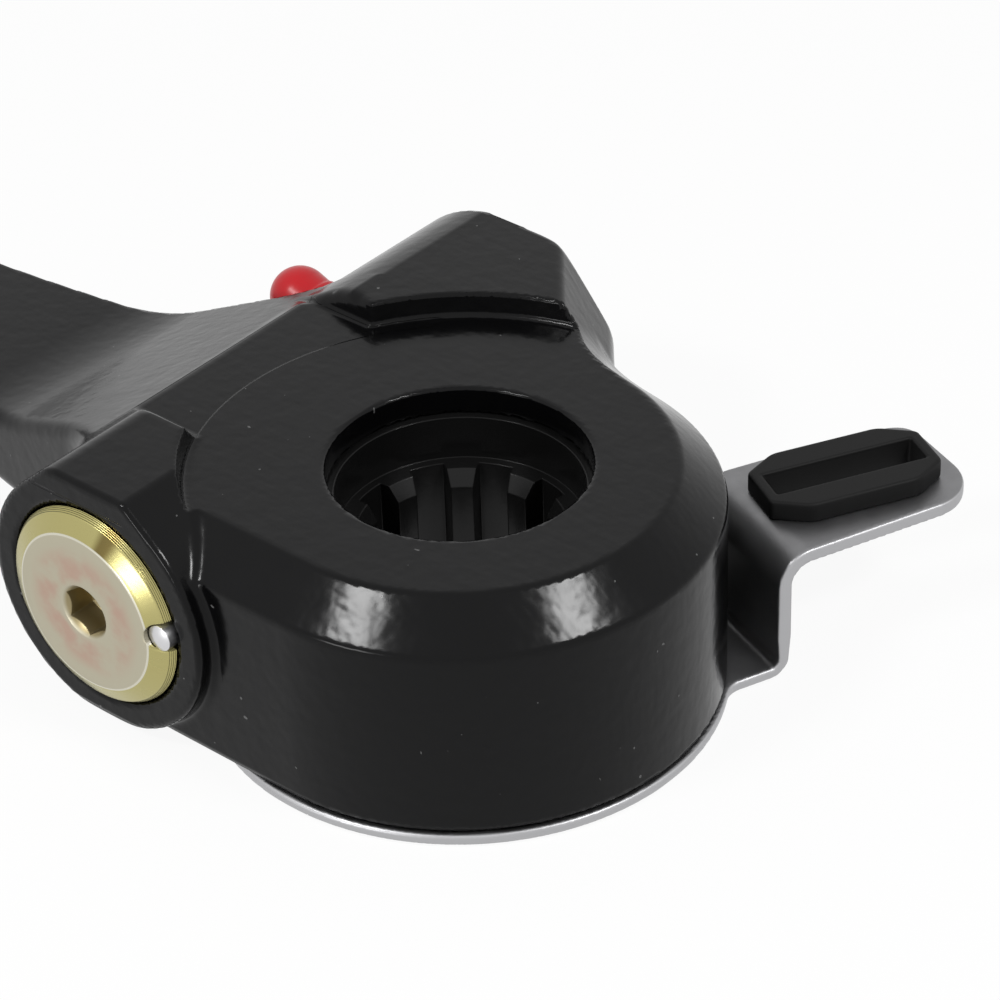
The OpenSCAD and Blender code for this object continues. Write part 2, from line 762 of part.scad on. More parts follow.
// Upright shaft with the pinion that the control ring turns and the small worm above it
module control_shaft() {
    root_r = pinion_pitch_r - stub_dedendum * control_module;
    radii = [root_r, pinion_pitch_r - 0.5 * control_module, pinion_pitch_r, pinion_tip_r];
    neck_r = small_worm_r - tip_gap;
    foot_z = cover_top_z - cover_t + face_gap;
    neck_z = cover_top_z + face_gap;
    top_z = small_worm_l / 2;
    color([0.52, 0.52, 0.55]) at_shaft() {
        rotate_extrude() polygon([[0, foot_z], [pivot_r, foot_z], [pivot_r, neck_z], [neck_r, neck_z],
            [neck_r, -top_z], [0, -top_z]]);
        rotate([0, 0, shaft_angle + 180 + 180 / pinion_teeth]) translate([0, 0, control_z])
            linear_extrude(control_face) spur_outline(pinion_pitch_r, pinion_teeth, radii);
        rotate([0, 0, core_turn]) translate([0, 0, -top_z - overlap])
            cylinder(r = small_worm_root_r / cos(15), h = small_worm_l + overlap, $fn = 12);
        worm_thread(small_worm_r, drive_module, stub_addendum, small_worm_root_r - sink,
            small_worm_l, 0, 12);
        translate([0, 0, top_z - overlap]) cylinder(r = pivot_r, h = pivot_l + overlap);
    }
}

// Gear ring that the control arm turns, with a sleeve through the cover
module control_ring() {
    root_r = control_pitch_r - stub_dedendum * control_module;
    radii = [root_r, control_pitch_r, control_tip_r];
    color([0.5, 0.5, 0.53]) difference() {
        union() {
            rotate([0, 0, shaft_angle]) translate([0, 0, control_z])
                linear_extrude(control_face) spur_outline(control_pitch_r, control_teeth, radii);
            translate([0, 0, sheet_top_z]) cylinder(r = sleeve_r, h = control_z - sheet_top_z + overlap);
        }
        translate([0, 0, -far_away]) cylinder(r = sleeve_bore_r, h = 2 * far_away);
        at_rivets() cylinder(r = rivet_r + seat_gap, h = 2 * far_away, center = true);
    }
}

module control_seal() {
    inner = sleeve_r + face_gap;
    outer = control_pitch_r - 2 * control_module;
    color([0.1, 0.1, 0.1]) translate([0, 0, cover_top_z]) rotate_extrude()
        polygon([[inner, 0], [outer, 0], [outer, seal_t], [inner, seal_t]]);
}

// Outline of the cover: a disc with a lobe under the control shaft
module cover_outline(margin) {
    circle(r = cover_r + margin);
    translate([shaft_x, shaft_y]) circle(r = cover_lobe_r + margin);
}

module at_screws() {
    for (i = [0:screw_count - 1])
        rotate([0, 0, shaft_angle + 360 * (i + 0.5) / screw_count])
            translate([screw_circle_r, 0, 0]) children();
}

module cover_plate() {
    color([0.55, 0.55, 0.56]) difference() {
        translate([0, 0, -body_depth]) linear_extrude(cover_t) cover_outline(0);
        translate([0, 0, -far_away]) cylinder(r = sleeve_r + slip_gap, h = 2 * far_away);
        at_shaft() translate([0, 0, -far_away]) cylinder(r = pivot_r + fit_gap, h = far_away);
        at_screws() screw_form(seat_gap, overlap);
    }
}

// Countersunk screw with its head level with the cover
module screw_form(margin, below) {
    rotate_extrude() polygon([[0, -body_depth - below], [screw_head_r + margin, -body_depth - below],
        [screw_head_r + margin, -body_depth], [screw_r + margin, -body_depth + screw_head_r - screw_r],
        [screw_r + margin, -body_depth + screw_l - face_gap], [0, -body_depth + screw_l - face_gap]]);
}

module cover_screws() {
    color([0.45, 0.45, 0.47]) at_screws() difference() {
        screw_form(0, 0);
        translate([0, 0, -body_depth - overlap])
            cylinder(r = screw_socket_r, h = overlap + screw_socket_depth, $fn = 6);
    }
}

module at_rivets() {
    for (i = [0:rivet_count - 1])
        rotate([0, 0, 360 * i / rivet_count]) translate([rivet_circle_r, 0, 0]) children();
}

// Points along an arc, from one direction to another
function arc(centre, r, from, to, steps = 8) = [
    for (i = [0:steps]) let (a = from + (to - from) * i / steps)
    centre + r * [cos(a), sin(a)]];

// Side view of the arm: flat foot, riser and tab, with two round bends
module arm_profile() {
    start = -disc_r - overlap;
    bend_out = bend_in + sheet_t;
    foot_bend = [riser_in - bend_in, sheet_top_z + bend_in];
    tab_bend = [riser_in + bend_out, -tab_drop - bend_out];
    polygon(concat([[start, sheet_bottom_z]], arc(foot_bend, bend_out, -90, 0),
        arc(tab_bend, bend_in, 180, 90), [[tab_reach, -tab_drop - sheet_t], [tab_reach, -tab_drop]],
        arc(tab_bend, bend_out, 90, 180), arc(foot_bend, bend_in, 0, -90), [[start, sheet_top_z]]));
}

// Plan of the arm: the disc, and a strip with straight sides and a rounded end
module arm_plan() {
    low = strip_offset - strip_w / 2;
    high = strip_offset + strip_w / 2;
    end = tab_reach - tab_corner;
    circle(r = disc_r);
    polygon(concat([[overlap, low]], arc([end, low + tab_corner], tab_corner, -90, 0, 12),
        arc([end, high - tab_corner], tab_corner, 0, 90, 12), [[overlap, high]]));
}

// Stamped steel arm: a disc under the housing and a strip bent up into a tab
module control_arm() {
    color([0.76, 0.76, 0.77]) difference() {
        rotate([0, 0, control_angle]) intersection() {
            along_y(-far_away, far_away) arm_profile();
            translate([0, 0, -far_away]) linear_extrude(2 * far_away) arm_plan();
        }
        translate([0, 0, -far_away]) cylinder(r = sleeve_bore_r, h = far_away);
        at_rivets() translate([0, 0, -far_away]) cylinder(r = rivet_r + seat_gap, h = far_away);
        at_rubber() linear_extrude(far_away, center = true)
            rubber_outline(neck_l + slip_gap, neck_w + slip_gap);
    }
}

module control_rivets() {
    color([0.7, 0.7, 0.71]) at_rivets() translate([0, 0, sheet_bottom_z])
        cylinder(r = rivet_r, h = control_z + rivet_grip - sheet_bottom_z);
}

module at_rubber() {
    rotate([0, 0, control_angle]) translate([rubber_mid, strip_offset + rubber_shift, -tab_drop])
        rotate([0, 0, rubber_turn]) children();
}

// Long eight sided outline with cut corners
module rubber_outline(length, width) {
    cut_l = rubber_chamfer_l;
    cut_w = rubber_chamfer_w;
    polygon([for (sx = [-1, 1]) for (i = [0:3])
        let (sy = sx * (i < 2 ? 1 : -1))
        let (end = i == 1 || i == 2)
        [sx * (end ? length / 2 : length / 2 - cut_l), sy * (end ? width / 2 - cut_w : width / 2)]]);
}

// Rubber bush buttoned into the tab, with a long slot for the anchor pin
module arm_bush() {
    color([0.09, 0.09, 0.09]) at_rubber() difference() {
        union() {
            linear_extrude(rubber_above) rubber_outline(rubber_l, rubber_w);
            translate([0, 0, -sheet_t - overlap])
                linear_extrude(sheet_t + 2 * overlap) rubber_outline(neck_l, neck_w);
            translate([0, 0, -sheet_t - rubber_below])
                linear_extrude(rubber_below) rubber_outline(rubber_l, rubber_w);
        }
        linear_extrude(far_away, center = true) square([slot_l, slot_w], center = true);
    }
}

// Place along the grease nipple, with z pointing out of the worm axis
module nipple_place() {
    translate([worm_x, nipple_y, 0]) rotate([0, 90 - nipple_tilt, 0]) children();
}

module grease_nipple() {
    color([0.7, 0.7, 0.72]) nipple_place() {
        rotate_extrude() polygon([[0, nipple_start], [nipple_r, nipple_start], [nipple_r, nipple_spot],
            [nipple_neck_r, nipple_head - nipple_head_r + nipple_neck_r], [nipple_head_r, nipple_head],
            [nipple_mouth_r, nipple_end], [0, nipple_end]]);
        translate([0, 0, nipple_spot]) cylinder(r = nipple_hex_r, h = nipple_hex_h, $fn = 6);
    }
}

// Soft cap with a collar and a pull tab
module nipple_cap() {
    color([0.8, 0.05, 0.07]) nipple_place() difference() {
        union() {
            translate([0, 0, cap_start]) cylinder(r = cap_r, h = cap_sphere - cap_start);
            translate([0, 0, cap_sphere]) sphere(r = cap_r);
            translate([0, 0, cap_start]) cylinder(r = cap_r + cap_collar, h = cap_collar_h);
            translate([-cap_tail_w / 2, -cap_r - cap_tail_l, cap_start])
                cube([cap_tail_w, cap_r + cap_tail_l, cap_collar_h]);
        }
        translate([0, 0, boss_r]) cylinder(r = cap_inner_r, h = cap_inner_end - boss_r);
    }
}

housing();
clevis_bush();
wheel_seal();
worm_wheel();
worm_screw();
clutch_hub();
one_way_spring();
drive_ring();
shaft_bush();
shaft_seal();
thrust_washer();
disc_springs();
plug_seal();
end_plug();
lock_pin();
control_shaft();
control_ring();
control_seal();
cover_plate();
cover_screws();
control_arm();
control_rivets();
arm_bush();
grease_nipple();
nipple_cap();
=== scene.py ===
# Automatic slack adjuster of a drum brake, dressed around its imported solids.
# Lengths in the sections below are in millimetres, and turn into metres where a mesh is made.
import json

import bpy
import numpy as np
from mathutils import Matrix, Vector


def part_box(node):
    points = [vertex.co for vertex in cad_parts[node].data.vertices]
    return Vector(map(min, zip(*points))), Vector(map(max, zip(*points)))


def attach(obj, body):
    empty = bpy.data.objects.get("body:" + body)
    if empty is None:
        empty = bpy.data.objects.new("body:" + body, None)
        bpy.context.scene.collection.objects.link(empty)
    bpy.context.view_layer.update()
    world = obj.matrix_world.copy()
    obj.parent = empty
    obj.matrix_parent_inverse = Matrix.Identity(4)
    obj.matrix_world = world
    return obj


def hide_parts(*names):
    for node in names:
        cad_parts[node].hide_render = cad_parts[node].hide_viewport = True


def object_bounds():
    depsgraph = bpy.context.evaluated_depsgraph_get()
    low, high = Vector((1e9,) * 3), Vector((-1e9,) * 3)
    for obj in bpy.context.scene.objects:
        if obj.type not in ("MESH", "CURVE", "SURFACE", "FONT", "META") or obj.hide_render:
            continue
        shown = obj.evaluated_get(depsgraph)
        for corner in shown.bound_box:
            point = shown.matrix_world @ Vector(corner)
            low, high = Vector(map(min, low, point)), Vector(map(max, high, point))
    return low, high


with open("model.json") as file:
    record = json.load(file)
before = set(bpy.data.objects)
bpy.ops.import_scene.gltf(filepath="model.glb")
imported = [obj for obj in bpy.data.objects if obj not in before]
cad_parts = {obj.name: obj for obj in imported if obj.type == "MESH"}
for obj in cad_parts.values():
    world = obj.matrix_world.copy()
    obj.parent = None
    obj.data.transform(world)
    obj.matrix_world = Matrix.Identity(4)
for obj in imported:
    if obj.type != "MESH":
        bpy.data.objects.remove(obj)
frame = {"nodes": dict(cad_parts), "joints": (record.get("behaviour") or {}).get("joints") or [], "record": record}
cad_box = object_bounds()


# Housing: the lever, cast in one piece with the barrel round the camshaft and the tunnel of the worm.
# It is grey iron, shot blasted, machined on the ring face and in the bores, and sprayed black all over.
# Every cast edge is round and every inner corner is filled, so the form is one blended distance field.
MM = 0.001
mounts = {mount["name"]: np.array(mount["pos_m"]) / MM for mount in frame["record"]["mounts"]}
pivots = {joint["name"]: np.array(joint.get("pos_m", (0, 0, 0))) / MM for joint in frame["joints"]}


def span(node):
    """Lowest and highest corner of a solid, in millimetres."""
    return [np.array(corner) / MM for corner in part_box(node)]


housing_low, housing_high = span("housing")
plug_low, plug_high = span("end_plug")
worm_x = pivots["worm_spin"][0]
shaft_x, shaft_y = pivots["control_gear_spin"][:2]
plug_r = (plug_high[0] - plug_low[0]) / 2
barrel_r = -housing_low[0]
base_z = housing_low[2]
ring_z = mounts["ring_face"][2]
far_y, near_y = housing_low[1], housing_high[1]
eye_x = mounts["clevis_pin"][0]
eye_r = housing_high[0] - eye_x
arm_low, arm_high = span("clevis_bush")
pin_low, pin_high = span("lock_pin")
pin_x, pin_z = (pin_low[0] + pin_high[0]) / 2, (pin_low[2] + pin_high[2]) / 2
pin_r = (pin_high[0] - pin_low[0]) / 2
nipple_y = sum(span("grease_nipple"))[1] / 2
nipple_way = np.array([joint["axis"] for joint in frame["joints"] if joint["name"] == "cap_pull"][0])
boss_r = plug_r + 5.3
platform_z = housing_high[2]
near_side = 24.4
far_end = far_y - 0.7
far_r = boss_r + 0.65
chamfer_run, chamfer_fall = 7.5, 7.2
shoulder_lean = np.radians(25)
saddle_near, saddle_far = 21.5, -21.6
saddle_lean, saddle_run, draft = 0.76, 1.26, 0.14
pocket_r = barrel_r + 0.5
turned_x, turned_y, turned_r = -1.0, 2.7, 43.7
beyond = 100
bore_r = 21.8
wheel_bores = ((24.9, 14.1), (31.8, 10), (34.8, -14.5), (41.1, base_z + 2))
gear_bores = ((2.05, 12.3), (5.92, 8.3), (10.8, -14.5), (13.4, base_z + 2))
worm_bores = ((13.0, -40, 24), (16.0, 23.6, 36), (12.0, far_y - 9, -40))
plug_hole_r, plug_hole_start = plug_r + 0.2, 35
pin_hole_r = pin_r + 0.1
eye_hole_r = 9.0
nipple_hole_r, nipple_hole_start = 3.1, 11
nipple_spot_r, nipple_spot_start = 5.1, boss_r - 0.5


def smooth_max(a, b, width):
    """The larger of two fields, rounded where they differ by less than width."""
    share = np.clip(0.5 + 0.5 * (a - b) / width, 0, 1)
    return b + (a - b) * share + width * share * (1 - share)


def smooth_min(a, b, width):
    """The smaller of two fields, with a fillet where they differ by less than width."""
    return -smooth_max(-a, -b, width)


def within(width, *faces):
    """Inside all of these faces, with edges rounded over width."""
    field = faces[0]
    for face in faces[1:]:
        field = smooth_max(field, face, width)
    return field


def ramp(value, start, end):
    """0 before the start, 1 past the end, and straight between them."""
    return np.clip((value - start) / (end - start), 0, 1)


def rotated(x, y, turn):
    """Places along and across a line through the origin that is turned by this angle."""
    return x * np.cos(turn) + y * np.sin(turn), y * np.cos(turn) - x * np.sin(turn)


def slope(across, height, foot, top):
    """Distance from a sloping face through two points, each given as across and height."""
    run = np.subtract(top, foot) / np.hypot(*np.subtract(top, foot))
    return (across - foot[0]) * -run[1] + (height - foot[1]) * run[0]


def barrel_section(across, z):
    """The barrel's wall, its wide chamfer and its ring face."""
    chamfer = slope(across, z, (barrel_r - chamfer_run, ring_z), (barrel_r, ring_z - chamfer_fall))
    return within(0.5, across - barrel_r, chamfer, z - ring_z)


def near_boss(x, y, z):
    """The boss of the plug: a round collar with a flat on top and a facet towards the camshaft."""
    inner_lean, outer_lean = np.radians(40), np.radians(41.7)
    overlap = 3
    facet = z * np.cos(inner_lean) - x * np.sin(inner_lean) - boss_r
    shoulder = z * np.cos(outer_lean) + x * np.sin(outer_lean) - boss_r
    flats = smooth_max(within(0.6, z - platform_z, facet), shoulder, 1.5)
    flats = np.maximum(flats, x * np.cos(outer_lean) - z * np.sin(outer_lean))
    flats = np.maximum(flats, -x * np.cos(inner_lean) - z * np.sin(inner_lean))
    wall = np.minimum(np.hypot(x, z) - boss_r, flats)
    return within(1.0, wall, y - near_y, near_side - overlap - y)


def far_boss(x, y, z):
    """The platform over the control gears, with a facet towards the barrel and a round end."""
    facet_turn = np.radians(220.2)
    facet_top, facet_foot, facet_fall = 17.1, 26.0, 13.9
    inner_x, inner_y = -5, -15
    end_r, flare = 25.4, 1.5
    side = rotated(x, y, facet_turn)[0]
    facet = slope(side, z, (facet_top, platform_z), (facet_foot, platform_z - facet_fall))
    box = within(1.0, inner_x - x, far_end - y, y - inner_y, z - platform_z, facet, side - facet_foot)
    out = x - worm_x
    box = smooth_max(box, z * np.cos(shoulder_lean) + out * np.sin(shoulder_lean) - far_r, 1.5)
    box = np.maximum(box, out * np.cos(shoulder_lean) - z * np.sin(shoulder_lean))
    end = (np.hypot(out, z) - end_r - flare * (y - far_end)) / np.hypot(1, flare)
    return smooth_max(box, end, 1.0)


def lever(x, y, z):
    """The shoulder, and the arm that draws in to the eye, in side view and in plan."""
    root_x = worm_x + 14
    root_half = np.where(y > 0, 29.9, 27.1)
    edge = np.where(y > 0, 2.6, 0.9)
    hollow, flare, flare_run = 1.3, 2.8, 0.16
    fall = (x - worm_x) * np.sin(shoulder_lean) - boss_r
    upper = smooth_min(fall + z * np.cos(shoulder_lean), z - arm_high[2], 4)
    lower = smooth_min(fall - z * np.cos(shoulder_lean), arm_low[2] - z, 4)
    run = ramp(x, root_x, eye_x - eye_r)
    half = eye_r + (root_half - eye_r) * (1 - run) ** hollow
    half = half + flare * np.maximum(1 - run / flare_run, 0) ** 2
    plan = np.where(x > eye_x, np.hypot(x - eye_x, y) - eye_r, np.abs(y) - half)
    return within(edge, upper, lower, plan, worm_x - x)


def drilled(field, across, along, radius, low, high, width=0.3):
    """The field less a round hole between two stations on its axis."""
    hole = np.maximum(across - radius, np.maximum(low - along, along - high))
    return smooth_max(field, -hole, width)


def along_nipple(x, y, z):
    """Distance out along the nipple's axis, from the worm's axis, and distance from it."""
    out = (x - worm_x) * nipple_way[0] + z * nipple_way[2]
    return out, np.hypot((x - worm_x) * nipple_way[2] - z * nipple_way[0], y - nipple_y)


def casting(x, y, z):
    """Signed distance from the skin of the whole casting, negative inside the metal."""
    radius = np.hypot(x, y)
    worm = np.hypot(x - worm_x, z)
    barrel = barrel_section(radius, z)
    flank = np.maximum(barrel_section(y, z), np.maximum(np.maximum(-x, x - worm_x), -y))
    swollen = boss_r + (far_r - boss_r) * ramp(-y, -20, 26)
    tunnel = within(1.2, worm - swollen, far_end - y, y - near_side - 1)
    drum = np.minimum(barrel, flank)
    bosses = np.minimum(tunnel, near_boss(x - worm_x, y, z))
    arm_fillet, near_fillet, far_fillet = 0.8, 1.6, 7
    bosses = smooth_min(bosses, lever(x, y, z), arm_fillet)
    field = smooth_min(drum, far_boss(x, y, z), far_fillet)
    field = np.minimum(field, smooth_min(drum, bosses, near_fillet))
    field = np.maximum(field, z - platform_z)
    field = smooth_max(field, base_z - z, 1.0)
    rise = z - ring_z
    near_wall = (y - saddle_near - saddle_lean * rise) / saddle_run
    saddle = within(1.0, -rise, near_wall, saddle_far - y - draft * rise, -x)
    round_cut = np.minimum(radius - pocket_r, np.hypot(x - turned_x, y - turned_y) - turned_r)
    pocket = within(0.9, round_cut - draft * rise, -rise)
    crisp, cast, soft = 0.03, 0.4, 1.6
    far_corner = ramp(x, 39, 42) * ramp(-y, 20, 21.5)
    edge = crisp + cast * ramp(rise, 1, 3) + cast * ramp(x, 44, 48) + soft * far_corner
    field = smooth_max(field, -np.minimum(saddle, pocket), edge)
    field = drilled(field, radius, z, bore_r, -beyond, beyond, 0.6)
    for hole_r, top in wheel_bores:
        field = drilled(field, radius, z, hole_r, -beyond, top)
    shaft = np.hypot(x - shaft_x, y - shaft_y)
    for hole_r, top in gear_bores:
        field = drilled(field, shaft, z, hole_r, -beyond, top)
    for hole_r, start, end in worm_bores:
        field = drilled(field, worm, y, hole_r, start, end)
    field = drilled(field, worm, y, plug_hole_r, plug_hole_start, beyond, 1.0)
    field = drilled(field, np.hypot(x - pin_x, z - pin_z), y, pin_hole_r, pin_low[1], beyond)
    field = drilled(field, np.hypot(x - eye_x, y), z, eye_hole_r, -beyond, beyond, 0.6)
    out, across = along_nipple(x, y, z)
    field = drilled(field, across, out, nipple_hole_r, nipple_hole_start, beyond)
    return drilled(field, across, out, nipple_spot_r, nipple_spot_start, beyond)


def gradient(field, points):
    """Slope of a field at each point, by central differences."""
    step = 0.04
    sides = []
    for axis in np.eye(3) * step:
        sides.append((field(*(points + axis).T) - field(*(points - axis).T)) / (2 * step))
    return np.stack(sides, axis=1)


def skin(field, low, high, cell):
    """Closed surface where the field is zero: one point in each grid cell that the surface crosses,
    at the mean of the crossings on the cell's edges and then drawn onto the surface along the slope,
    and one four sided face across each grid edge that is crossed."""
    axes = [np.arange(a, b + cell, cell) for a, b in zip(low, high)]
    value = field(*np.meshgrid(*axes, indexing="ij"))
    inside = value < 0
    cells = tuple(n - 1 for n in value.shape)
    total = np.zeros(cells + (3,))
    count = np.zeros(cells)
    crossings = []
    for axis in range(3):
        around = [slice(1, -1)] * 3
        around[axis] = slice(None, -1)
        ahead = list(around)
        ahead[axis] = slice(1, None)
        here, there = value[tuple(around)], value[tuple(ahead)]
        crossed = inside[tuple(around)] != inside[tuple(ahead)]
        share = np.where(crossed, here / np.where(crossed, here - there, 1), 0)
        index = np.indices(here.shape).astype(float)
        index[[k for k in range(3) if k != axis]] += 1
        index[axis] += share
        windows = []
        for shift in ((0, 0), (1, 0), (1, 1), (0, 1)):
            window = [slice(None)] * 3
            for k, offset in zip(((axis + 1) % 3, (axis + 2) % 3), shift):
                window[k] = slice(offset, offset + here.shape[k])
            windows.append(tuple(window))
            total[tuple(window)] += np.moveaxis(index * crossed, 0, -1)
            count[tuple(window)] += crossed
        crossings.append((crossed, inside[tuple(around)], windows))
    number = np.cumsum(count.ravel() > 0).reshape(cells) - 1
    used = count > 0
    points = total[used] / count[used][:, None] * cell + np.array(low)
    faces = []
    for crossed, outward, windows in crossings:
        ring = np.stack([number[window][crossed] for window in windows], axis=1)
        faces.append(np.where(outward[crossed][:, None], ring, ring[:, ::-1]))
    for _ in range(3):
        push = gradient(field, points)
        depth = field(*points.T) / np.maximum((push ** 2).sum(1), 0.2)
        points -= np.clip(push * depth[:, None], -cell / 2, cell / 2)
    return points, np.concatenate(faces)


def piece(name, points, faces, normals=None):
    """A smooth object from points in millimetres and faces."""
    mesh = bpy.data.meshes.new(name)
    mesh.from_pydata(points * MM, [], faces)
    mesh.shade_smooth()
    if normals is not None:
        mesh.normals_split_custom_set_from_vertices(normals)
    made = bpy.data.objects.new(name, mesh)
    bpy.context.scene.collection.objects.link(made)
    return made


def grown(name, field, node, margin, cell):
    """A smooth object on the field's surface, looked for in the node's box and a margin round it."""
    low, high = span(node)
    points, faces = skin(field, low - margin, high + margin, cell)
    slopes = gradient(field, points)
    return piece(name, points, faces, slopes / np.linalg.norm(slopes, axis=1)[:, None])


class Field:
    """A shader socket that takes part in sums and products as a number does."""

    def __init__(self, tree, socket):
        self.tree = tree
        self.socket = socket

    def node(self, kind, settings=None, inputs=None, output=0):
        """Adds a node of this kind, with its settings set first and then its sockets set or linked."""
        made = self.tree.nodes.new(kind)
        for name, setting in (settings or {}).items():
            setattr(made, name, setting)
        for name, given in (inputs or {}).items():
            if isinstance(given, Field):
                self.tree.links.new(given.socket, made.inputs[name])
            else:
                made.inputs[name].default_value = given
        return Field(self.tree, made.outputs[output])

    def math(self, operation, *given):
        """A number that this operation makes from fields or even numbers."""
        return self.node("ShaderNodeMath", {"operation": operation}, dict(enumerate(given)))

    def __add__(self, other):
        return self.math("ADD", self, other)

    def __sub__(self, other):
        return self.math("SUBTRACT", self, other)

    def __rsub__(self, other):
        return self.math("SUBTRACT", other, self)

    def __mul__(self, other):
        return self.math("MULTIPLY", self, other)

    def __truediv__(self, other):
        return self.math("DIVIDE", self, other)

    def rise(self, low, high):
        """0 below low, 1 above high and a smooth step between them."""
        return self.node("ShaderNodeMapRange", {"interpolation_type": "SMOOTHSTEP"},
                         {0: self, 1: low, 2: high, 3: 0.0, 4: 1.0})

    def noise(self, size, detail, stretch=(1, 1, 1)):
        """Cloudy noise between 0 and 1 with features of this size in millimetres."""
        scale = tuple(1 / (size * MM * s) for s in stretch)
        place = self.node("ShaderNodeMapping", None, {"Vector": self, "Scale": scale})
        return place.node("ShaderNodeTexNoise", None, {"Vector": place, "Scale": 1.0, "Detail": detail})

    def tint(self, first, second):
        """A colour between two colours, by this value. Each may be even or a field."""
        return self.node("ShaderNodeMix", {"data_type": "RGBA"}, {0: self, 6: first, 7: second}, 2)


class Finish:
    """A material with one shader. Even values are set on the shader's own sockets."""

    def __init__(self, name, **even):
        self.material = bpy.data.materials.new(name)
        self.material.use_nodes = True
        self.tree = self.material.node_tree
        self.shader = self.tree.nodes["Principled BSDF"]
        for key, given in even.items():
            self.shader.inputs[key.replace("_", " ")].default_value = given
        coordinates = self.tree.nodes.new("ShaderNodeTexCoord")
        self.place = Field(self.tree, coordinates.outputs["Object"])

    def vary(self, name, field):
        """Lets a field set this socket of the shader."""
        self.tree.links.new(field.socket, self.shader.inputs[name])

    def relief(self, height, edge=0.0):
        """Raises the surface by a height in millimetres, over edges rounded to a radius."""
        inputs = {"Height": height, "Distance": MM, "Strength": 1.0}
        if edge:
            inputs["Normal"] = height.node("ShaderNodeBevel", {"samples": 6}, {"Radius": edge * MM})
        self.vary("Normal", height.node("ShaderNodeBump", None, inputs))

    def dress(self, *objects):
        """Gives these objects this material and no other."""
        for made in objects:
            made.data.materials.clear()
            made.data.materials.append(self.material)


# The paint is a fairly glossy black with orange peel, a faint blasted grain below it, and stray dust.
# A fine line in it follows the edge of the turned floor beside the ring face.
paint = Finish("black_paint", IOR=1.25)
peel = paint.place.noise(2.6, 1.0)
grain = paint.place.noise(1.5, 1.0, (7, 1, 7))
swell = paint.place.noise(6.0, 1.0)
dust = paint.place.noise(1.3, 0.0).rise(0.865, 0.88)
paint.vary("Base Color", dust.tint((0.002, 0.002, 0.0022, 1), (0.09, 0.09, 0.09, 1)))
paint.vary("Roughness", swell * 0.1 + 0.12)
line_half = 0.15
turned = paint.place.node("ShaderNodeVectorMath", {"operation": "MULTIPLY_ADD"}, {
    0: paint.place, 1: (1 / MM, 1 / MM, 0), 2: (-turned_x, -turned_y, 0)})
turned = turned.node("ShaderNodeVectorMath", {"operation": "LENGTH"}, {0: turned}, "Value")
east, height = [paint.place.node("ShaderNodeSeparateXYZ", None, {0: paint.place}, k) / MM for k in (0, 2)]
floor_level = height.rise(ring_z - 0.3, ring_z - 0.2) * (1 - height.rise(ring_z + 0.15, ring_z + 0.25))
step = turned.rise(turned_r - line_half, turned_r + line_half) * floor_level * east.rise(30, 32)
paint.relief(peel * 0.06 + swell * 0.03 + grain * 0.02 - step * 0.2)

housing = grown("housing_casting", casting, "housing", 2.5, 0.86)
paint.dress(housing)
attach(housing, "housing")
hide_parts("housing")


# Worm wheel: a steel wheel with the splined bore of the camshaft, blackened and oiled.
# Its hub shows inside the ring, and its teeth run hidden in the barrel.
black_steel = Finish("black_steel", Base_Color=(0.006, 0.006, 0.006, 1), IOR=1.3, Roughness=0.22)
black_steel.relief(black_steel.place.noise(1.6, 2.0) * 0.01, 0.35)
black_steel.dress(frame["nodes"]["worm_wheel"])


# Worm, clutch and control gears: ground steel that runs in grease inside the housing.
# Only the adjusting hexagon of the worm stands out of the far boss.
gear_steel = Finish("gear_steel", Metallic=1.0, Roughness=0.3)
stain = gear_steel.place.noise(5.0, 3.0)
gear_steel.vary("Base Color", stain.tint((0.46, 0.46, 0.47, 1), (0.36, 0.35, 0.33, 1)))
gear_steel.relief(gear_steel.place.noise(0.4, 1.0) * 0.004, 0.2)
gear_steel.dress(*(frame["nodes"][name] for name in (
    "worm_screw", "clutch_hub", "control_shaft", "control_ring")))


# Springs: the one way coil of blued wire, and the disc springs, stamped from blued strip.
# The coil sits round the drum of the clutch, and the discs press on the worm from behind the plug.
spring_steel = Finish("spring_steel", Metallic=1.0)
stain = spring_steel.place.noise(3.0, 2.0)
spring_steel.vary("Base Color", stain.tint((0.26, 0.27, 0.32, 1), (0.34, 0.3, 0.26, 1)))
spring_steel.vary("Roughness", stain * 0.2 + 0.25)
spring_steel.dress(frame["nodes"]["one_way_spring"], frame["nodes"]["disc_springs"])


# Bronze: the drive ring and the bush of the worm shaft, turned from bar.
# The ring turns beside the clutch, and the bush is pressed into the far boss.
bronze = Finish("bronze", Metallic=1.0, Roughness=0.35)
stain = bronze.place.noise(4.0, 3.0)
bronze.vary("Base Color", stain.tint((0.55, 0.38, 0.17, 1), (0.42, 0.27, 0.11, 1)))
bronze.dress(frame["nodes"]["drive_ring"], frame["nodes"]["shaft_bush"])


# Seals: moulded rubber rings that keep the grease in.
# They sit round the wheel, the worm shaft, the plug and the control ring.
rubber = Finish("rubber", IOR=1.22)
bloom = rubber.place.noise(6.0, 3.0)
rubber.vary("Base Color", bloom.tint((0.004, 0.004, 0.004, 1), (0.008, 0.008, 0.008, 1)))
rubber.vary("Roughness", bloom * 0.15 + 0.45)
rubber.relief(rubber.place.noise(0.5, 2.0) * 0.01)
rubber.dress(*(frame["nodes"][name] for name in (
    "wheel_seal", "shaft_seal", "plug_seal", "control_seal")))


# End plug: turned steel with a hexagon socket, zinc plated and passivated yellow.
# The flat face shows pink and green clouds of the passivation, the chamfer the lathe's fine rings.
# It is screwed into the near boss, and the lock pin sits in a notch in its rim.
plug_face = plug_high[1]
socket_flat = 4.0
socket_depth = 5.6
lead_r = 5.0
chamfer_r = plug_r - 3.7
rim_drop = 2.0


